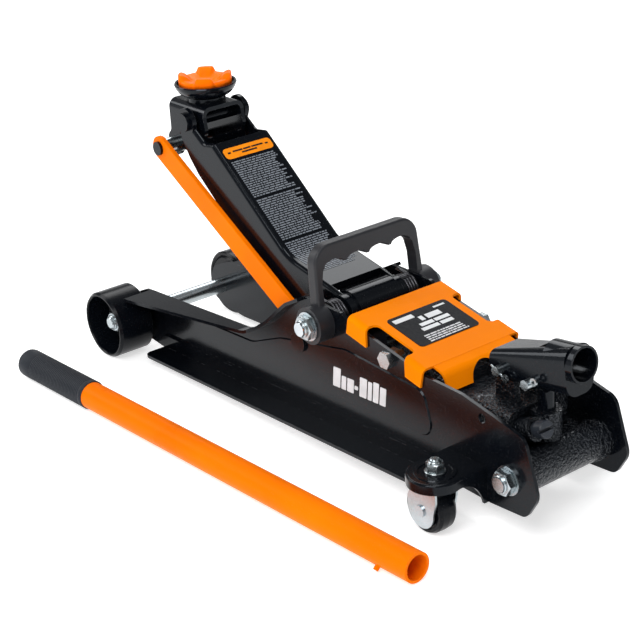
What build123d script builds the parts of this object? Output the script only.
from build123d import *
import math
import os

# Hydraulic floor jack, standing on its four wheels, with its pump handle lying beside it.
# +X runs from the front wheels to the handle socket, +Z is up, and the jack is symmetric
# about y = 0 while it is modelled. LAYOUT then moves every piece, so that the origin is
# on the floor under the middle of the whole layout. Millimetres throughout.
# "Left" is the -Y side, where the loose handle lies. Plane.XZ faces -Y, so a sketch on
# left(d) lies at y = -d and a positive extrusion grows outboard.

os.makedirs("parts", exist_ok=True)
LAYOUT = Location((-254.4, 37.7, 0.0))

# ---------------------------------------------------------------- driving dimensions
# Front axle at x = 0
WHEEL_R = 32.5
AXLE_R = 7.5
WHEEL_IN, WHEEL_OUT = 55.8, 93.3
WHEEL_HUB_OUT = 74.0
# Side plates, 3 mm pressed steel
PLATE_IN, PLATE_OUT = 47.4, 50.4
PLATE_T = PLATE_OUT - PLATE_IN
FLANGE_OUT = 77.0
RAIL_SLOPE = 0.040
# Lift arm, radius links and saddle bracket form a parallelogram
ARM_X, ARM_Z = 294.0, 114.5
ARM_LENGTH = 246.0
ARM_ANGLE = 30.2
LINK_DX, LINK_DZ = -33.5, -29.5
TIP_X = ARM_X - ARM_LENGTH * math.cos(math.radians(ARM_ANGLE))
TIP_Z = ARM_Z + ARM_LENGTH * math.sin(math.radians(ARM_ANGLE))
LINK_X, LINK_Z = ARM_X + LINK_DX, ARM_Z + LINK_DZ
LINK_TIP_X, LINK_TIP_Z = TIP_X + LINK_DX, TIP_Z + LINK_DZ
CHEEK_IN, CHEEK_OUT = 27.0, 31.0
SHAFT_R = 10.0
TIP_PIN_R = 6.0
LINK_PIN_R = 5.0
LINK_IN, LINK_OUT = 35.2, 40.0
# Crank of the lift arm and the ram that pushes it
CRANK_R = 50.0
CRANK_ANGLE = 9.5
CRANK_X = ARM_X - CRANK_R * math.sin(math.radians(CRANK_ANGLE))
CRANK_Z = ARM_Z - CRANK_R * math.cos(math.radians(CRANK_ANGLE))
CRANK_PIN_R = 8.0
RAM_Z = 69.3
RAM_R = 11.0
CYLINDER_X0, CYLINDER_X1 = 348.0, 431.0
CYLINDER_R = 20.0
TANK_R = 33.0
# Saddle
SADDLE_X = 73.0
SADDLE_Z = 255.5
DISH_R = 28.5
PAD_R = 24.3
PAD_TOP = 276.0
# Rear: tie bolt, pump, handle socket
TIE_X, TIE_Z = 511.0, 51.0
TIE_R = 6.0
PUMP_PIN_X, PUMP_PIN_Z = 470.0, 118.0
PLUNGER_X, PLUNGER_Z = 501.0, 117.0
PLUNGER_R = 7.0
SOCKET_PIN_R = 4.0
SOCKET_R, SOCKET_BORE_R = 14.7, 12.9
SOCKET_TILT = 7.0
MOUTH_X, MOUTH_Z = 539.5, 138.8
VALVE_X, VALVE_Y, VALVE_Z = 509.0, 19.0, 81.5
VALVE_TILT = 20.0
# Casters
KING_X, KING_Y = 465.0, 83.0
CASTER_R, CASTER_W = 20.8, 17.0
CASTER_TRAIL = 5.3
TABLE_TOP, TABLE_T = 52.8, 3.0
TABLE_R = 23.0
FORK_TOP = 46.2
# Orange cover over the sloping top edges
COVER_X0, COVER_X1 = 329.0, 418.5
COVER_Z0 = 126.8
COVER_SLOPE = 0.2105
COVER_T = 2.0
COVER_RISE = 4.0
# Carry handle on the ends of the lift arm's shaft
CARRY_IN, CARRY_OUT = 50.8, 66.0
CARRY_LEAN = 6.0
CARRY_HEIGHT = 65.0
CARRY_T = 12.0
# Loose pump handle
TUBE_R, TUBE_BORE_R = 12.5, 10.2
GRIP_R = 13.5
HANDLE_LENGTH, GRIP_LENGTH = 527.5, 108.0
HANDLE_X, HANDLE_Y = 245.9, -155.3
HANDLE_TURN = 2.8


# ---------------------------------------------------------------- helpers
def save(piece, label):
    placed = LAYOUT * piece
    placed.label = label
    export_step(placed, f"parts/{label}.step")


def left(distance):
    """Plane parallel to XZ at y = -distance, facing -Y."""
    return Plane.XZ.offset(distance)


def other_side(piece):
    return mirror(piece, about=Plane.XZ)


def both_sides(piece):
    return Compound(children=[piece, other_side(piece)])


def round_bar(x, z, radius, y0, y1, bore=0.0):
    """Bar or ring along Y between y0 and y1."""
    with BuildPart() as bar:
        with BuildSketch(left(-y0)):
            with Locations((x, z)):
                Circle(radius)
                if bore:
                    Circle(bore, mode=Mode.SUBTRACT)
        extrude(amount=y0 - y1)
    return bar.part


def hexagon(x, z, flats, y0, y1, bore=0.0, collar=0.0):
    """Hexagon along Y from y0 to y1, with an optional bore and a round collar beyond y1."""
    step = 1.0 if y1 > y0 else -1.0
    with BuildPart() as nut:
        with BuildSketch(left(-y0)):
            with Locations((x, z)):
                RegularPolygon(flats / 2, 6, major_radius=False)
                if bore:
                    Circle(bore, mode=Mode.SUBTRACT)
        extrude(amount=y0 - y1)
        if collar:
            with BuildSketch(left(-y1)):
                with Locations((x, z)):
                    Circle(flats * 0.42)
                    if bore:
                        Circle(bore, mode=Mode.SUBTRACT)
            extrude(amount=-step * collar)
    return nut.part


def cover_line(x):
    """Height of the fold between the cover's top and its side tabs."""
    return COVER_Z0 - COVER_SLOPE * (x - COVER_X0)


def rail_line(x):
    """Underside of the side plate's bottom flange, which rises a little to the rear."""
    return 9.0 + RAIL_SLOPE * (x - 54.0)


# ---------------------------------------------------------------- side plates
TOP_EDGE = [(15, 62), (186, 73.5), (206, 84.5), (222, 95.5), (236, 108), (250, 119.5), (268, 129),
            (318, 128.5)]
LIP_PATH = [(21, 62.5), (186, 73.5), (206, 84.5), (222, 95.5), (236, 108), (250, 119.5), (268, 129)]


def side_plate():
    cover_pts = [(COVER_X0 - 3, cover_line(COVER_X0) - 2.4), (COVER_X1, cover_line(COVER_X1) - 2.2)]
    rear_pts = [(460, 104.8), (503, 96.5), (527, 91), (541.5, 46), (529, 25.5), (490, 23.0),
                (440, rail_line(440))]
    front_pts = [(35, rail_line(35)), (2, 11.5), (-15, 18), (-19, 34), (-12, 50)]
    outline = TOP_EDGE + cover_pts + rear_pts + front_pts
    radii = [8, 30, 30, 40, 40, 30, 14, 8, 8, 20, 30, 30, 12, 14, 10, 20, 20, 12, 14, 14, 12, 14]
    with BuildPart() as plate:
        # Wall with the axle, shaft, tie bolt and lightening holes
        with BuildSketch(left(PLATE_IN)):
            with BuildLine():
                FilletPolyline(*outline, radius=radii[:len(outline)], close=True)
            make_face()
            with Locations((0, WHEEL_R)):
                Circle(AXLE_R + 0.05, mode=Mode.SUBTRACT)
            with Locations((ARM_X, ARM_Z)):
                Circle(SHAFT_R + 0.05, mode=Mode.SUBTRACT)
            with Locations((TIE_X, TIE_Z)):
                Circle(TIE_R + 0.05, mode=Mode.SUBTRACT)
            with Locations((483, 92.5)):
                Circle(4, mode=Mode.SUBTRACT)
            with Locations((376, 106.5)):
                Circle(4.05, mode=Mode.SUBTRACT)
        extrude(amount=PLATE_T)
        # Long stiffening panel pressed outboard
        with BuildSketch(left(PLATE_OUT)):
            with BuildLine():
                FilletPolyline((110, 44), (112, 59), (190, 63), (232, 80), (322, 98), (418, 93), (430, 54),
                               (300, 48),
                               radius=[6, 8, 30, 30, 20, 12, 12, 40], close=True)
            make_face()
        extrude(amount=1.2, taper=40)
        # Link pin hole, through the wall and the panel
        with BuildSketch(left(PLATE_IN)):
            with Locations((LINK_X, LINK_Z)):
                Circle(LINK_PIN_R + 0.05)
        extrude(amount=2 * PLATE_T, mode=Mode.SUBTRACT)
        # Bottom rail: an upright band outside the wall, then a flat flange
        with BuildSketch(left(PLATE_OUT)):
            with BuildLine():
                Polyline((44, rail_line(44)), (44, rail_line(44) + 15), (424, rail_line(424) + 16),
                         (430, rail_line(430) + 10), (430, rail_line(430)), close=True)
            make_face()
        extrude(amount=3.2)
        with BuildSketch(left(PLATE_OUT)):
            with BuildLine():
                Polyline((44, rail_line(44)), (44, rail_line(44) + 3), (430, rail_line(430) + 3),
                         (430, rail_line(430)), close=True)
            make_face()
        extrude(amount=FLANGE_OUT - PLATE_OUT)
        outer = plate.edges().filter_by(GeomType.LINE).filter_by(Axis.Z)
        fillet(outer.group_by(Axis.Y)[0], radius=7)
        # Top flange, wide at the front wheel and narrowing into the lip round the shaft
        with BuildSketch(left(PLATE_IN)):
            with BuildLine():
                path = FilletPolyline(*LIP_PATH, radius=[30, 30, 40, 40, 30])
                offset(path, amount=-3.0, side=Side.RIGHT)
            make_face()
        extrude(amount=32)
        with BuildSketch(Plane.XY.offset(45)):
            with BuildLine():
                Polyline((0, -81), (24, -79), (190, -57.5), (300, -57.5), (300, -90), (0, -90), close=True)
            make_face()
        extrude(amount=100, mode=Mode.SUBTRACT)
    return plate.part


save_left_plate = side_plate()
save(save_left_plate, "side_plate_left")
save(other_side(save_left_plate), "side_plate_right")


# ---------------------------------------------------------------- front axle and wheels
with BuildPart() as front_axle:
    with BuildSketch(left(-WHEEL_HUB_OUT)):
        with Locations((0, WHEEL_R)):
            Circle(AXLE_R)
    extrude(amount=2 * WHEEL_HUB_OUT)
    for y in (-86, WHEEL_HUB_OUT):
        with BuildSketch(left(-y)):
            with Locations((0, WHEEL_R)):
                Circle(6)
        extrude(amount=WHEEL_HUB_OUT - 86)
    chamfer(front_axle.edges().filter_by(GeomType.CIRCLE).group_by(Axis.Y)[0], length=1)
    chamfer(front_axle.edges().filter_by(GeomType.CIRCLE).group_by(Axis.Y)[-1], length=1)
save(front_axle.part, "front_axle")

axle_spacer = round_bar(0, WHEEL_R, 11, -WHEEL_IN + 0.1, -PLATE_OUT, AXLE_R + 0.05)
save(both_sides(axle_spacer), "axle_spacers")
axle_washer = round_bar(0, WHEEL_R, 12, -75.8, -WHEEL_HUB_OUT - 0.1, 6.05)
axle_nut = hexagon(0, WHEEL_R, 18, -75.8, -82.0, 6.0, 2.4)
save(both_sides(axle_washer), "axle_washers")
save(both_sides(axle_nut), "axle_nuts")


def front_wheel():
    """Tread ring round a web near the inner face; the deep dish opens outboard."""
    with BuildPart() as wheel:
        with BuildSketch(Plane.XY):
            with BuildLine():
                Polyline((AXLE_R + 0.06, WHEEL_IN), (26, WHEEL_IN), (27.5, WHEEL_IN + 1.5), (29, WHEEL_IN),
                         (WHEEL_R - 1.5, WHEEL_IN), (WHEEL_R, WHEEL_IN + 1.5), (WHEEL_R, WHEEL_OUT - 2.5),
                         (WHEEL_R - 2, WHEEL_OUT), (29.3, WHEEL_OUT), (28.6, WHEEL_OUT - 1), (27.8, 69),
                         (25, 66.5), (16, 66.5), (14.5, 68), (13.5, WHEEL_HUB_OUT),
                         (AXLE_R + 0.06, WHEEL_HUB_OUT), close=True)
            make_face()
        revolve(axis=Axis.Y)
    return Pos(0, 0, WHEEL_R) * mirror(wheel.part, about=Plane.XZ)


left_wheel = front_wheel()
save(left_wheel, "front_wheel_left")
save(other_side(left_wheel), "front_wheel_right")


# ---------------------------------------------------------------- caster tables and casters
def caster_table():
    """Pressed shelf on the side plate: flat top with a half-round end and a rolled-down skirt."""
    with BuildPart() as table:
        with BuildSketch(Plane.XY.offset(TABLE_TOP - TABLE_T)):
            with BuildLine():
                Polyline((KING_X - TABLE_R, -PLATE_OUT), (KING_X - TABLE_R, -KING_Y))
                RadiusArc((KING_X - TABLE_R, -KING_Y), (KING_X + TABLE_R, -KING_Y), -TABLE_R)
                Polyline((KING_X + TABLE_R, -KING_Y), (KING_X + TABLE_R, -PLATE_OUT),
                         (KING_X - TABLE_R, -PLATE_OUT))
            make_face()
        extrude(amount=TABLE_T)
        rim = table.edges().group_by(Axis.Z)[-1].filter_by(lambda e: e.center().Y < -PLATE_OUT - 1)
        fillet(rim, radius=1.8)
        with BuildSketch(Plane.XY.offset(TABLE_TOP - 8.5)):
            with Locations((KING_X, -KING_Y)):
                Circle(TABLE_R)
                Circle(TABLE_R - 2.4, mode=Mode.SUBTRACT)
            with Locations((KING_X, -KING_Y + TABLE_R)):
                Rectangle(80, 2 * TABLE_R, mode=Mode.SUBTRACT)
        extrude(amount=7)
        with BuildSketch(Plane.YZ.offset(KING_X + TABLE_R - 2.4)):
            with BuildLine():
                Polyline((-KING_Y, TABLE_TOP - 1), (-KING_Y, 44.3))
                Spline((-KING_Y, 44.3), (-64, 40), (-57, 30.5), (-54, 22.5))
                Polyline((-54, 22.5), (-PLATE_OUT, 22.5), (-PLATE_OUT, TABLE_TOP - 1),
                         (-KING_Y, TABLE_TOP - 1))
            make_face()
        extrude(amount=2.4)
        with BuildSketch(Plane.YZ.offset(KING_X - TABLE_R)):
            with BuildLine():
                Polyline((-KING_Y, TABLE_TOP - 1), (-KING_Y, 44.3), (-PLATE_OUT, 38),
                         (-PLATE_OUT, TABLE_TOP - 1),
                         close=True)
            make_face()
        extrude(amount=2.4)
        with BuildSketch(Plane.XY.offset(TABLE_TOP)):
            with Locations((KING_X, -KING_Y)):
                Circle(17)
                Circle(13, mode=Mode.SUBTRACT)
        extrude(amount=0.8, taper=35)
        with BuildSketch(Plane.XY.offset(TABLE_TOP - 20)):
            with Locations((KING_X, -KING_Y)):
                Circle(4.05)
        extrude(amount=30, mode=Mode.SUBTRACT)
    return table.part


left_table = caster_table()
save(left_table, "caster_table_left")
save(other_side(left_table), "caster_table_right")


def kingpin():
    with BuildPart() as pin:
        with BuildSketch(Plane.XY.offset(42.0)):
            with Locations((KING_X, -KING_Y)):
                Circle(6.5)
        extrude(amount=1.8)
        with BuildSketch(Plane.XY.offset(43.8)):
            with Locations((KING_X, -KING_Y)):
                Circle(4)
        extrude(amount=20.2)
        chamfer(pin.edges().group_by(Axis.Z)[-1], length=0.6)
    return pin.part


def kingpin_nut():
    with BuildPart() as nut:
        with BuildSketch(Plane.XY.offset(TABLE_TOP + 1.6)):
            with Locations((KING_X, -KING_Y)):
                RegularPolygon(6.5, 6, major_radius=False, rotation=12)
        extrude(amount=6.5)
        with BuildSketch(Plane.XY.offset(TABLE_TOP)):
            with Locations((KING_X, -KING_Y)):
                Circle(8.5)
        extrude(amount=1.6)
        with BuildSketch(Plane.XY.offset(TABLE_TOP + 8.1)):
            with Locations((KING_X, -KING_Y)):
                Circle(5.6)
        extrude(amount=1.6)
        with BuildSketch(Plane.XY.offset(TABLE_TOP - 1)):
            with Locations((KING_X, -KING_Y)):
                Circle(4.0)
        extrude(amount=20, mode=Mode.SUBTRACT)
    return nut.part


save(both_sides(kingpin()), "kingpins")
save(both_sides(kingpin_nut()), "kingpin_nuts")


def caster_fork():
    """Stamped fork: a round top with two cheeks that nearly cover the wheel."""
    wheel_x = KING_X - CASTER_TRAIL
    half = CASTER_W / 2 + 1.2
    with BuildPart() as fork:
        with BuildSketch(Plane.XY.offset(44.0)):
            with Locations((KING_X, -KING_Y)):
                Circle(17)
        extrude(amount=FORK_TOP - 44.0)
        with BuildSketch(Plane.XY.offset(FORK_TOP)):
            with Locations((KING_X, -KING_Y)):
                Circle(12)
        extrude(amount=TABLE_TOP - TABLE_T - 0.1 - FORK_TOP)
        for near in (KING_Y - half - 2, KING_Y + half):
            with BuildSketch(left(near)):
                with BuildLine():
                    Polyline((KING_X - 13, 44.2), (wheel_x - 14.5, 30), (wheel_x - 14.5, CASTER_R))
                    RadiusArc((wheel_x - 14.5, CASTER_R), (wheel_x + 14.5, CASTER_R), -14.5)
                    Polyline((wheel_x + 14.5, CASTER_R), (KING_X + 12, 33), (KING_X + 12, 44.2),
                             (KING_X - 13, 44.2))
                make_face()
                with Locations((wheel_x, CASTER_R)):
                    Circle(3.02, mode=Mode.SUBTRACT)
            extrude(amount=2)
        with BuildSketch(Plane.XY.offset(40)):
            with Locations((KING_X, -KING_Y)):
                Circle(4.08)
        extrude(amount=20, mode=Mode.SUBTRACT)
    return fork.part


def caster_wheel():
    with BuildPart() as wheel:
        with BuildSketch(Plane.XY):
            with BuildLine():
                Polyline((3.08, -CASTER_W / 2), (8, -CASTER_W / 2), (9, -CASTER_W / 2 + 1.5),
                         (15, -CASTER_W / 2 + 1.5),
                         (16.5, -CASTER_W / 2), (CASTER_R - 2, -CASTER_W / 2),
                         (CASTER_R - 0.4, -CASTER_W / 2 + 2.5),
                         (CASTER_R, 0), (CASTER_R - 0.4, CASTER_W / 2 - 2.5), (CASTER_R - 2, CASTER_W / 2),
                         (16.5, CASTER_W / 2), (15, CASTER_W / 2 - 1.5), (9, CASTER_W / 2 - 1.5),
                         (8, CASTER_W / 2), (3.08, CASTER_W / 2), close=True)
            make_face()
        revolve(axis=Axis.Y)
    return Pos(KING_X - CASTER_TRAIL, -KING_Y, CASTER_R) * wheel.part


def caster_rivet():
    wheel_x = KING_X - CASTER_TRAIL
    half = CASTER_W / 2 + 3.2
    rivet = round_bar(wheel_x, CASTER_R, 3.0, -KING_Y - half, -KING_Y + half)
    head = round_bar(wheel_x, CASTER_R, 5.0, -KING_Y - half - 1.5, -KING_Y - half)
    tail = round_bar(wheel_x, CASTER_R, 5.0, -KING_Y + half, -KING_Y + half + 1.5)
    return rivet + head + tail


for side, place in (("left", lambda piece: piece), ("right", other_side)):
    save(place(caster_fork()), f"caster_fork_{side}")
    save(place(caster_wheel()), f"caster_wheel_{side}")
    save(place(caster_rivet()), f"caster_axle_{side}")


# ---------------------------------------------------------------- lift arm
ARM_CREST = [(122, 225.5), (222, 145.7), (277, 134.8)]


def arm_cheek():
    """One cheek from the saddle pin, past the shaft hub, down to the crank pin."""
    with BuildPart() as cheek:
        with BuildSketch(left(CHEEK_IN)):
            with Locations((ARM_X, ARM_Z)):
                Circle(16.5)
            with Locations((CRANK_X, CRANK_Z)):
                Circle(13)
            make_hull()
            with Locations((TIP_X, TIP_Z)):
                Circle(12.5)
            with BuildLine():
                FilletPolyline((TIP_X - 9, 230), (TIP_X + 8, 236), (107, 223.5), *ARM_CREST, (ARM_X, 130.8),
                               (ARM_X, 92), (216, 95), (96, 192), (TIP_X + 3, 205), (TIP_X - 8, 222),
                               radius=[0, 4, 8, 3, 45, 6, 0, 0, 40, 14, 8, 6], close=True)
            make_face()
            with Locations((TIP_X, TIP_Z)):
                Circle(TIP_PIN_R + 0.05, mode=Mode.SUBTRACT)
            with Locations((ARM_X, ARM_Z)):
                Circle(SHAFT_R + 0.05, mode=Mode.SUBTRACT)
            with Locations((CRANK_X, CRANK_Z)):
                Circle(CRANK_PIN_R + 0.05, mode=Mode.SUBTRACT)
        extrude(amount=CHEEK_OUT - CHEEK_IN)
    return cheek.part


with BuildPart() as lift_arm:
    add(arm_cheek())
    add(other_side(arm_cheek()))
    # Top plate, bent over the knee in front of the shaft, with its rear edge folded down
    with BuildSketch(left(-CHEEK_IN)):
        with BuildLine():
            crest = FilletPolyline(*ARM_CREST, radius=45)
            offset(crest, amount=-3.5, side=Side.RIGHT)
        make_face()
    extrude(amount=2 * CHEEK_IN)
    with BuildSketch(left(-CHEEK_IN)):
        with Locations((275.4, 131)):
            Rectangle(3, 7)
    extrude(amount=2 * CHEEK_IN)
    # Hub round the shaft
    with BuildSketch(left(-CHEEK_OUT)):
        with Locations((ARM_X, ARM_Z)):
            Circle(16.4)
            Circle(SHAFT_R + 0.05, mode=Mode.SUBTRACT)
    extrude(amount=2 * CHEEK_OUT)
    with BuildSketch(left(-23)):
        with Locations((ARM_X, ARM_Z)):
            Circle(18.5)
            Circle(SHAFT_R + 0.05, mode=Mode.SUBTRACT)
    extrude(amount=46)
    # Bottom tie between the cheeks near the tip
    with BuildSketch(left(-CHEEK_IN)):
        with BuildLine():
            Polyline((150, 152), (196, 115), (194, 112.5), (148, 149.5), close=True)
        make_face()
    extrude(amount=2 * CHEEK_IN)
    # Rolled edges where the cheeks fold into the top plate
    folds = lift_arm.edges().filter_by(
        lambda e: abs(e.center().Y) > CHEEK_OUT - 0.01 and 124 < e.center().X < 275 and e.length > 15)
    fillet(folds.filter_by(lambda e: e.center().Z > 228 - 0.8 * (e.center().X - 122)
                           and e.center().Z > 134), radius=3.6)
save(lift_arm.part, "lift_arm")

saddle_pin = round_bar(TIP_X, TIP_Z, TIP_PIN_R, -34.6, 34.6)
saddle_pin += round_bar(TIP_X, TIP_Z, 8.5, -34.6, -CHEEK_OUT - 0.2)
saddle_pin += round_bar(TIP_X, TIP_Z, 8.5, CHEEK_OUT + 0.2, 34.6)
save(saddle_pin, "saddle_pivot_pin")
crank_pin = round_bar(CRANK_X, CRANK_Z, CRANK_PIN_R, -33.0, 33.0)
save(crank_pin, "crank_pin")
crank_clip = round_bar(CRANK_X, CRANK_Z, 11, -32.8, -31.6, CRANK_PIN_R)
save(both_sides(crank_clip), "crank_pin_clips")

# ---------------------------------------------------------------- shaft, springs and carry handle
with BuildPart() as arm_shaft:
    with BuildSketch(left(-66.5)):
        with Locations((ARM_X, ARM_Z)):
            Circle(SHAFT_R)
    extrude(amount=133)
    for y in (-76.5, 66.5):
        with BuildSketch(left(-y)):
            with Locations((ARM_X, ARM_Z)):
                Circle(6)
        extrude(amount=-10)
save(arm_shaft.part, "lift_arm_shaft")
save(both_sides(round_bar(ARM_X, ARM_Z, 12.5, -67.5, -66.5, 6.05)), "shaft_washers")
save(both_sides(hexagon(ARM_X, ARM_Z, 19, -67.5, -72.5, 6.0, 2.6)), "shaft_nuts")
return_spring = round_bar(ARM_X, ARM_Z, 16.5, -45.5, -32.0, 11.0)
save(return_spring, "return_spring_left")
save(other_side(return_spring), "return_spring_right")

lean = math.radians(CARRY_LEAN)
CARRY_PLANE = Plane(origin=(ARM_X, 0, ARM_Z), x_dir=(0, 1, 0), z_dir=(math.cos(lean), 0, math.sin(lean)))
FINGER_PITCH = 24.0
with BuildPart() as carry_handle:
    # U frame: legs lean inwards, and the grip bar has four finger scallops underneath
    with BuildSketch(CARRY_PLANE.offset(-CARRY_T / 2)):
        with BuildLine():
            FilletPolyline((-58.8, 0), (-55.2, CARRY_HEIGHT), (55.2, CARRY_HEIGHT), (58.8, 0), (51.1, 0),
                           (51.1, 32),
                           (48.0, CARRY_HEIGHT - 18.5), (-48.0, CARRY_HEIGHT - 18.5), (-51.1, 32),
                           (-51.1, 0),
                           radius=[0, 17, 17, 0, 0, 4, 5, 5, 4, 0], close=True)
        make_face()
        with Locations(*[(k * FINGER_PITCH, CARRY_HEIGHT - 18.5) for k in (-1.5, -0.5, 0.5, 1.5)]):
            Ellipse(10.4, 4.2, mode=Mode.SUBTRACT)
    extrude(amount=CARRY_T)
    rims = carry_handle.faces().sort_by(Axis((0, 0, 0), tuple(CARRY_PLANE.z_dir)))
    for rim in (rims[0], rims[-1]):
        bar_edges = rim.outer_wire().edges().filter_by(lambda e: e.center().Z > ARM_Z + 61)
        fillet(bar_edges, radius=2.5)
    for y0, y1 in ((-CARRY_OUT, -CARRY_IN), (CARRY_IN, CARRY_OUT)):
        with BuildSketch(left(-y0)):
            with Locations((ARM_X, ARM_Z)):
                Circle(16.2)
        extrude(amount=y0 - y1)
    with BuildSketch(left(-100)):
        with Locations((ARM_X, ARM_Z)):
            Circle(SHAFT_R + 0.06)
    extrude(amount=200, mode=Mode.SUBTRACT)
save(carry_handle.part, "carry_handle")


# ---------------------------------------------------------------- radius links and saddle
def radius_link():
    """Flat bar with round ends; its length follows the lift arm."""
    length_plane = Plane(origin=(LINK_X, -LINK_IN, LINK_Z), z_dir=(0, -1, 0),
                         x_dir=(LINK_TIP_X - LINK_X, 0, LINK_TIP_Z - LINK_Z))
    with BuildPart() as link:
        with BuildSketch(length_plane):
            with Locations((ARM_LENGTH / 2, 0)):
                SlotCenterToCenter(ARM_LENGTH, 22)
            with Locations((0, 0)):
                Circle(LINK_PIN_R + 0.06, mode=Mode.SUBTRACT)
            with Locations((ARM_LENGTH, 0)):
                Circle(LINK_PIN_R + 0.06, mode=Mode.SUBTRACT)
        extrude(amount=LINK_OUT - LINK_IN)
        long_edges = link.edges().filter_by(GeomType.LINE).filter_by(lambda e: e.length > 100)
        fillet(long_edges, radius=0.8)
    return link.part


left_link = radius_link()
save(left_link, "radius_link_left")
save(other_side(left_link), "radius_link_right")


def link_foot_pin():
    pin = round_bar(LINK_X, LINK_Z, LINK_PIN_R, -52.0, -33.2)
    head = round_bar(LINK_X, LINK_Z, 9.0, -54.0, -52.0)
    collar = round_bar(LINK_X, LINK_Z, 8.5, -LINK_IN + 0.2, -33.2)
    return pin + head + collar


save(both_sides(link_foot_pin()), "link_foot_pins")

with BuildPart() as saddle_bracket:
    # Folded channel: two side walls and a top with rounded shoulders, open to the rear
    with BuildSketch(Plane.YZ.offset(44)):
        with BuildLine():
            FilletPolyline((-22.6, 212), (-22.6, 251.5), (22.6, 251.5), (22.6, 212), (19.0, 212),
                           (19.0, 247.9),
                           (-19.0, 247.9), (-19.0, 212), radius=[0, 8, 8, 0, 0, 5, 5, 0], close=True)
        make_face()
    extrude(amount=54)
    for wall in (19.0, -22.6):
        with BuildSketch(left(wall)):
            with BuildLine():
                FilletPolyline((44, 243), (98, 243), (101, 226), (84, 220), (58, 204),
                               (LINK_TIP_X + 4, LINK_TIP_Z - 12),
                               (LINK_TIP_X - 11, LINK_TIP_Z - 5), (LINK_TIP_X - 9, LINK_TIP_Z + 8),
                               (44, 222),
                               radius=[0, 0, 8, 12, 10, 9, 9, 6, 6], close=True)
            make_face()
        extrude(amount=3.6)
    # Front web and the seat under the dish
    with BuildSketch(Plane.YZ.offset(44)):
        with Locations((0, 236)):
            Rectangle(40, 26)
    extrude(amount=3.6)
    with BuildSketch(Plane.XY.offset(251.5)):
        with Locations((SADDLE_X, 0)):
            Circle(17.5)
    extrude(amount=SADDLE_Z - 251.6)
    for x, z, radius in ((TIP_X, TIP_Z, TIP_PIN_R), (LINK_TIP_X, LINK_TIP_Z, LINK_PIN_R)):
        with BuildSketch(left(-60)):
            with Locations((x, z)):
                Circle(radius + 0.06)
        extrude(amount=120, mode=Mode.SUBTRACT)
    with BuildSketch(Plane.XY.offset(230)):
        with Locations((SADDLE_X, 0)):
            Circle(8.05)
    extrude(amount=40, mode=Mode.SUBTRACT)
save(saddle_bracket.part, "saddle_bracket")

link_tip_pin = round_bar(LINK_TIP_X, LINK_TIP_Z, LINK_PIN_R, -42.8, 42.8)
for y0, y1 in ((-42.8, -LINK_OUT - 0.1), (LINK_OUT + 0.1, 42.8)):
    link_tip_pin += round_bar(LINK_TIP_X, LINK_TIP_Z, 6.4, y0, y1)
save(link_tip_pin, "link_tip_pin")
tip_spacer = round_bar(LINK_TIP_X, LINK_TIP_Z, 7.5, -LINK_IN + 0.2, -22.7, LINK_PIN_R + 0.05)
save(both_sides(tip_spacer), "link_tip_spacers")

with BuildPart() as saddle:
    # Round dish on a stem that turns in the bracket
    with BuildSketch(Plane.XZ):
        with BuildLine():
            Polyline((0, 245.2), (8, 245.2), (8, SADDLE_Z), (18.5, SADDLE_Z), (20, SADDLE_Z + 1.0))
            ThreePointArc((20, SADDLE_Z + 1.0), (25.6, 260.8), (DISH_R, 267.0))
            Polyline((DISH_R, 267.0), (27.9, 268.0), (26.2, 268.0), (25.0, 264.5), (0, 264.5), (0, 245.2))
        make_face()
    revolve(axis=Axis.Z)
save(Pos(SADDLE_X, 0, 0) * saddle.part, "saddle")
with BuildPart() as saddle_clip:
    with BuildSketch(Plane.XY.offset(246.0)):
        with Locations((SADDLE_X, 0)):
            Circle(11.5)
            Circle(8.0, mode=Mode.SUBTRACT)
    extrude(amount=1.5)
save(saddle_clip.part, "saddle_clip")

with BuildPart() as saddle_pad:
    with BuildSketch(Plane.XY.offset(264.6)):
        Circle(PAD_R)
    extrude(amount=6.4)
    chamfer(saddle_pad.edges().group_by(Axis.Z)[-1], length=1.2)
    with BuildSketch(Plane.XY.offset(270.9)):
        with PolarLocations(PAD_R - 5.2, 4, start_angle=52.8):
            RectangleRounded(9, 17, 2.0)
    extrude(amount=PAD_TOP - 270.9)
save(Pos(SADDLE_X, 0, 0) * saddle_pad.part, "saddle_pad")


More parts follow.
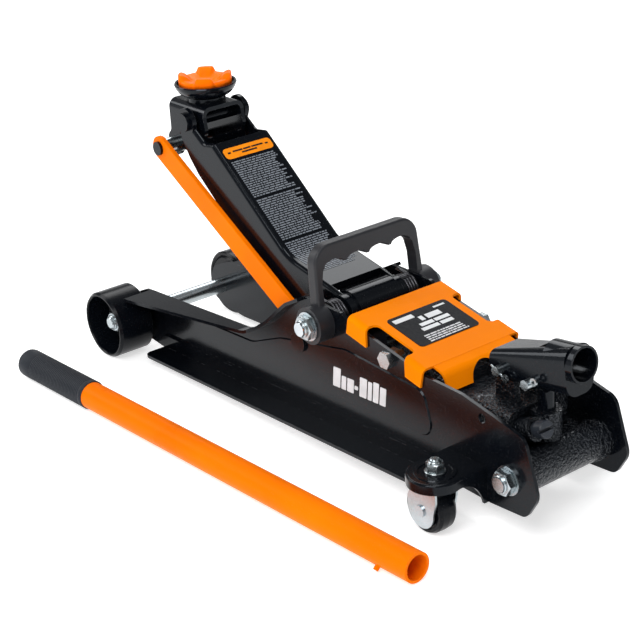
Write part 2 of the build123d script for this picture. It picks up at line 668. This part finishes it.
# ---------------------------------------------------------------- orange cover
cover_plane = Plane(origin=(COVER_X0, 0, cover_line(COVER_X0)), x_dir=(0, 1, 0),
                    z_dir=(math.cos(math.atan(COVER_SLOPE)), 0, -math.sin(math.atan(COVER_SLOPE))))
COVER_LENGTH = (COVER_X1 - COVER_X0) / math.cos(math.atan(COVER_SLOPE))
TAB_OUT, TAB_DROP = PLATE_OUT + 2.15, 13.0
with BuildPart() as cover:
    with BuildSketch(cover_plane):
        with BuildLine():
            FilletPolyline((-TAB_OUT, -TAB_DROP), (-TAB_OUT, COVER_RISE), (TAB_OUT, COVER_RISE),
                           (TAB_OUT, -TAB_DROP),
                           (TAB_OUT - COVER_T, -TAB_DROP), (TAB_OUT - COVER_T, COVER_RISE - COVER_T),
                           (-TAB_OUT + COVER_T, COVER_RISE - COVER_T), (-TAB_OUT + COVER_T, -TAB_DROP),
                           radius=[0, 5, 5, 0, 0, 3, 3, 0], close=True)
        make_face()
    extrude(amount=COVER_LENGTH)
    # Relief notches that leave two tabs on each side
    with BuildSketch(Plane.XY.offset(80)):
        for side in (-1, 1):
            with Locations(((351 + 398) / 2, side * 52)):
                RectangleRounded(398 - 351, 24, 5)
    extrude(amount=80, mode=Mode.SUBTRACT)
    # Rear skirt rolls down over the pump, with an arch for the handle socket
    x1, z1 = COVER_X1, cover_line(COVER_X1) + COVER_RISE
    with BuildSketch(left(-41)):
        with BuildLine():
            FilletPolyline((x1 - 0.5, z1 + 0.1), (x1 + 12, z1 - 3.5), (x1 + 19, z1 - 17),
                           (x1 + 17.2, z1 - 17.9),
                           (x1 + 10.6, z1 - 5.1), (x1 - 0.5, z1 - 1.9), radius=[0, 9, 0, 0, 7, 0],
                           close=True)
        make_face()
    extrude(amount=82)
    with BuildSketch(Plane.YZ.offset(x1 + 8)):
        with Locations((0, z1 - 20)):
            Circle(16)
    extrude(amount=30, mode=Mode.SUBTRACT)
    # Shallow pressed recess for the data label
    label_plane = Plane(origin=(374, 0, cover_line(374) + COVER_RISE), x_dir=(0, 1, 0),
                        z_dir=(math.sin(math.atan(COVER_SLOPE)), 0, math.cos(math.atan(COVER_SLOPE))))
    with BuildSketch(label_plane):
        RectangleRounded(66, 46, 4)
    extrude(amount=-0.8, mode=Mode.SUBTRACT)
save(cover.part, "pump_cover")

cover_bolt = hexagon(376, 106.5, 13, -PLATE_OUT, -PLATE_OUT - 5.3)
cover_bolt += round_bar(376, 106.5, 4.0, -PLATE_OUT - 5.3, -36.0)
save(both_sides(cover_bolt), "cover_bolts")
cover_nut = hexagon(376, 106.5, 13, -PLATE_IN, -PLATE_IN + 6.5, 4.0)
save(both_sides(cover_nut), "cover_nuts")

# ---------------------------------------------------------------- hydraulic unit
with BuildPart() as pump_block:
    # Cast body, bridge to the rear barrel, socket ears, plunger barrel and valve boss
    with BuildSketch(Plane.YZ.offset(CYLINDER_X1)):
        with Locations((0, 62)):
            RectangleRounded(64, 60, 8)
    extrude(amount=61)
    with BuildSketch(Plane.XY.offset(40)):
        with Locations((498, 0)):
            Rectangle(34, 78)
    extrude(amount=22)
    with BuildSketch(left(-PLATE_IN)):
        with Locations((TIE_X, TIE_Z)):
            Circle(15.5)
    extrude(amount=2 * PLATE_IN)
    for y in (-41, 36):
        with BuildSketch(left(-y)):
            with Locations((TIE_X, TIE_Z)):
                Circle(17)
        extrude(amount=-5)
    for y in (-13.2, 8.2):
        with BuildSketch(left(-y)):
            with BuildLine():
                Polyline((459, 90), (PUMP_PIN_X - 8.5, PUMP_PIN_Z), (PUMP_PIN_X + 8.5, PUMP_PIN_Z),
                         (482, 90), close=True)
            make_face()
            with Locations((PUMP_PIN_X, PUMP_PIN_Z)):
                Circle(8.5)
        extrude(amount=-5)
    with BuildSketch(Plane.XY.offset(56)):
        with Locations((PLUNGER_X, 0)):
            Circle(12)
    extrude(amount=34)
    valve_dir = Vector(math.cos(math.radians(VALVE_TILT)), 0, math.sin(math.radians(VALVE_TILT)))
    valve_plane = Plane(origin=(VALVE_X, -VALVE_Y, VALVE_Z), x_dir=(0, 1, 0), z_dir=valve_dir)
    with BuildSketch(valve_plane.offset(-22)):
        Circle(9.5)
    extrude(amount=22)
    with BuildSketch(valve_plane.offset(-16)):
        Circle(6.05)
    extrude(amount=20, mode=Mode.SUBTRACT)
    with BuildSketch(Plane.XY.offset(66)):
        with Locations((PLUNGER_X, 0)):
            Circle(PLUNGER_R + 0.05)
    extrude(amount=40, mode=Mode.SUBTRACT)
    for x, z, radius in ((TIE_X, TIE_Z, TIE_R), (PUMP_PIN_X, PUMP_PIN_Z, SOCKET_PIN_R)):
        with BuildSketch(left(-60)):
            with Locations((x, z)):
                Circle(radius + 0.05)
        extrude(amount=120, mode=Mode.SUBTRACT)
save(pump_block.part, "pump_block")

with BuildPart() as ram_cylinder:
    with BuildSketch(Plane.YZ.offset(CYLINDER_X0)):
        with Locations((0, RAM_Z)):
            Circle(CYLINDER_R)
            Circle(RAM_R + 3.05, mode=Mode.SUBTRACT)
    extrude(amount=CYLINDER_X1 - CYLINDER_X0)
save(ram_cylinder.part, "ram_cylinder")
with BuildPart() as ram_gland:
    with BuildSketch(Plane.YZ.offset(CYLINDER_X0 - 8)):
        with Locations((0, RAM_Z)):
            Circle(CYLINDER_R + 2)
            Circle(RAM_R + 0.06, mode=Mode.SUBTRACT)
    extrude(amount=8)
    with BuildSketch(Plane.YZ.offset(CYLINDER_X0)):
        with Locations((0, RAM_Z)):
            Circle(RAM_R + 3.0)
            Circle(RAM_R + 0.06, mode=Mode.SUBTRACT)
    extrude(amount=3)
save(ram_gland.part, "ram_gland")
with BuildPart() as reservoir_tank:
    with BuildSketch(Plane.YZ.offset(350)):
        with Locations((0, RAM_Z)):
            Circle(TANK_R)
            Circle(CYLINDER_R + 0.05, mode=Mode.SUBTRACT)
    extrude(amount=CYLINDER_X1 - 350)
    with BuildSketch(Plane.YZ.offset(356)):
        with Locations((0, RAM_Z)):
            Circle(TANK_R - 2.5)
            Circle(CYLINDER_R + 2, mode=Mode.SUBTRACT)
    extrude(amount=CYLINDER_X1 - 362, mode=Mode.SUBTRACT)
    with BuildSketch(Plane.XY.offset(96)):
        with Locations((372, 0)):
            Circle(4.02)
    extrude(amount=12, mode=Mode.SUBTRACT)
save(reservoir_tank.part, "reservoir_tank")
with BuildPart() as filler_plug:
    with BuildSketch(Plane.XY.offset(97.5)):
        with Locations((372, 0)):
            Circle(4.0)
    extrude(amount=5.0)
    with BuildSketch(Plane.XY.offset(102.5)):
        with Locations((372, 0)):
            Circle(6.5)
    extrude(amount=3.0)
save(filler_plug.part, "filler_plug")

SLOT_RISE = CRANK_R * (1 - math.cos(math.radians(36.2))) / 2
with BuildPart() as ram_piston:
    # Rod with a piston head inside the cylinder
    with BuildSketch(Plane.YZ.offset(CRANK_X + 16)):
        with Locations((0, RAM_Z)):
            Circle(RAM_R)
    extrude(amount=78)
    with BuildSketch(Plane.YZ.offset(CRANK_X + 92)):
        with Locations((0, RAM_Z)):
            Circle(RAM_R + 3.0)
    extrude(amount=12)
save(ram_piston.part, "ram_piston")
with BuildPart() as ram_eye:
    # Flat eye on the rod's end: its upright slot lets the crank pin swing on its arc
    with BuildSketch(left(-11)):
        with BuildLine():
            FilletPolyline((CRANK_X - 16, RAM_Z - 22), (CRANK_X + 16, RAM_Z - 22),
                           (CRANK_X + 16, RAM_Z + 22),
                           (CRANK_X - 16, RAM_Z + 22), radius=12, close=True)
        make_face()
        with Locations((CRANK_X, RAM_Z)):
            SlotOverall(2 * (CRANK_PIN_R + 1.3 + SLOT_RISE), 2 * (CRANK_PIN_R + 1.3), rotation=90,
                        mode=Mode.SUBTRACT)
    extrude(amount=22)
save(ram_eye.part, "ram_eye")

# ---------------------------------------------------------------- tie bolt, socket, plunger, valve
tie_bolt = round_bar(TIE_X, TIE_Z, TIE_R, -62.0, 62.0)
save(tie_bolt, "tie_bolt")
save(both_sides(round_bar(TIE_X, TIE_Z, 12.0, -52.2, -PLATE_OUT, TIE_R + 0.05)), "tie_washers")
save(both_sides(hexagon(TIE_X, TIE_Z, 18, -52.2, -59.6, TIE_R, 1.6)), "tie_nuts")

tilt = math.radians(SOCKET_TILT)
socket_plane = Plane(origin=(MOUTH_X, 0, MOUTH_Z), x_dir=(0, 1, 0),
                     z_dir=(math.cos(tilt), 0, math.sin(tilt)))
YOKE_IN, YOKE_OUT = 15.3, 18.3
with BuildPart() as handle_socket:
    # Yoke pressed from a tube: an open channel over the pump pins that rounds into the mouth
    with BuildSketch(Plane.YZ.offset(458)):
        with Locations((0, 118.5)):
            RectangleRounded(2 * YOKE_OUT, 23, 6)
    with BuildSketch(socket_plane.offset(-6)):
        with Locations((0, -5)):
            RectangleRounded(2 * SOCKET_R, 2 * SOCKET_R + 10, 11)
    loft()
    with BuildSketch(socket_plane):
        Circle(SOCKET_R)
    extrude(amount=-30)
    with BuildSketch(socket_plane.offset(1)):
        Circle(SOCKET_BORE_R)
    extrude(amount=-29, mode=Mode.SUBTRACT)
    with BuildSketch(Plane.YZ.offset(450)):
        with Locations((0, 112)):
            RectangleRounded(2 * YOKE_IN, 30, 4)
    with BuildSketch(socket_plane.offset(-27.5)):
        with Locations((0, -10)):
            RectangleRounded(2 * SOCKET_BORE_R, 42, 8)
    loft(mode=Mode.SUBTRACT)
    for x, z in ((PUMP_PIN_X, PUMP_PIN_Z), (PLUNGER_X, PLUNGER_Z)):
        with BuildSketch(left(-60)):
            with Locations((x, z)):
                Circle(SOCKET_PIN_R + 0.06)
        extrude(amount=120, mode=Mode.SUBTRACT)
save(handle_socket.part, "handle_socket")


def clevis_pin(x, z):
    pin = round_bar(x, z, SOCKET_PIN_R, -21.0, 24.0)
    return pin + round_bar(x, z, 5.2, -21.0, -YOKE_OUT - 0.1)


def cotter(x, z):
    """Split pin bent round the clevis pin's far end, with its eye above."""
    with BuildPart() as split_pin:
        with BuildSketch(Plane.XY.offset(z - 7)):
            with Locations((x, 21.5)):
                Circle(0.9)
        extrude(amount=14)
        with BuildSketch(left(-20.7)):
            with Locations((x, z + 9)):
                Circle(3.2)
                Circle(1.6, mode=Mode.SUBTRACT)
        extrude(amount=-1.6)
    return split_pin.part


def turned(piece, x, z, angle):
    """The piece turned about a crosswise axis through x and z."""
    return Pos(x, 0, z) * Rot(0, angle, 0) * Pos(-x, 0, -z) * piece


# The pins go in from the right, so their split pins show on the left, each bent its own way
for pin_name, split_name, x, z, angle in (("socket_pivot_pin", "pivot_cotter", PUMP_PIN_X, PUMP_PIN_Z, 115),
                                          ("plunger_pin", "plunger_cotter", PLUNGER_X, PLUNGER_Z, 59)):
    hole = turned(Pos(x, 21.5, z) * Cylinder(1.0, 20), x, z, angle)
    save(other_side(clevis_pin(x, z) - hole), pin_name)
    save(other_side(turned(cotter(x, z), x, z, angle)), split_name)

STROKE_SWEEP = 5.2
with BuildPart() as pump_plunger:
    with BuildSketch(Plane.XY.offset(70)):
        with Locations((PLUNGER_X, 0)):
            Circle(PLUNGER_R)
    extrude(amount=38)
    # Head with a level slot: the socket's pin swings a little fore and aft in it
    with BuildSketch(left(-6.5)):
        with BuildLine():
            FilletPolyline((PLUNGER_X - 14, 107), (PLUNGER_X + 9, 107), (PLUNGER_X + 9, 127),
                           (PLUNGER_X - 14, 127),
                           radius=4, close=True)
        make_face()
        with Locations((PLUNGER_X - STROKE_SWEEP / 2, PLUNGER_Z)):
            SlotOverall(2 * (SOCKET_PIN_R + 0.8) + STROKE_SWEEP, 2 * (SOCKET_PIN_R + 0.8),
                        mode=Mode.SUBTRACT)
    extrude(amount=13)
save(pump_plunger.part, "pump_plunger")

with BuildPart() as release_valve:
    with BuildSketch(valve_plane.offset(-15)):
        Circle(6.0)
    extrude(amount=19)
    with BuildSketch(valve_plane.offset(4)):
        Circle(7.2)
    extrude(amount=8)
    chamfer(release_valve.edges().filter_by(GeomType.CIRCLE).sort_by(Axis.X)[-1], length=0.8)
    with BuildSketch(valve_plane.offset(8.5)):
        Rectangle(20, 2.8)
    extrude(amount=6, mode=Mode.SUBTRACT)
save(release_valve.part, "release_valve")

# ---------------------------------------------------------------- loose pump handle
handle_place = Location((HANDLE_X, HANDLE_Y, GRIP_R), (0, 0, HANDLE_TURN))
BUTTON_X = HANDLE_LENGTH / 2 - 33
BUTTON_PLANE = Plane(origin=(BUTTON_X, 0, 0), x_dir=(1, 0, 0), z_dir=(0, -0.7071, -0.7071))
with BuildPart() as handle_tube:
    with BuildSketch(Plane.YZ.offset(-HANDLE_LENGTH / 2 + 4)):
        Circle(TUBE_R)
        Circle(TUBE_BORE_R, mode=Mode.SUBTRACT)
    extrude(amount=HANDLE_LENGTH - 4)
    # Hole for the spring button near the open end
    with BuildSketch(BUTTON_PLANE):
        Circle(2.3)
    extrude(amount=20, mode=Mode.SUBTRACT)
save(handle_place * handle_tube.part, "handle_tube")
with BuildPart() as handle_grip:
    with BuildSketch(Plane.YZ.offset(-HANDLE_LENGTH / 2)):
        Circle(GRIP_R)
    extrude(amount=GRIP_LENGTH)
    fillet(handle_grip.faces().sort_by(Axis.X)[0].edges(), radius=5)
    with BuildSketch(Plane.YZ.offset(-HANDLE_LENGTH / 2 + 4)):
        Circle(TUBE_R)
    extrude(amount=GRIP_LENGTH, mode=Mode.SUBTRACT)
save(handle_place * handle_grip.part, "handle_grip")
with BuildPart() as handle_button:
    # Button on a flat spring, bent inside the tube
    with BuildSketch(BUTTON_PLANE.offset(6)):
        Circle(2.2)
    extrude(amount=10)
    with BuildSketch(BUTTON_PLANE.offset(6)):
        with Locations((9, 0)):
            RectangleRounded(34, 7, 2)
    extrude(amount=1.0)
save(handle_place * handle_button.part, "handle_button")
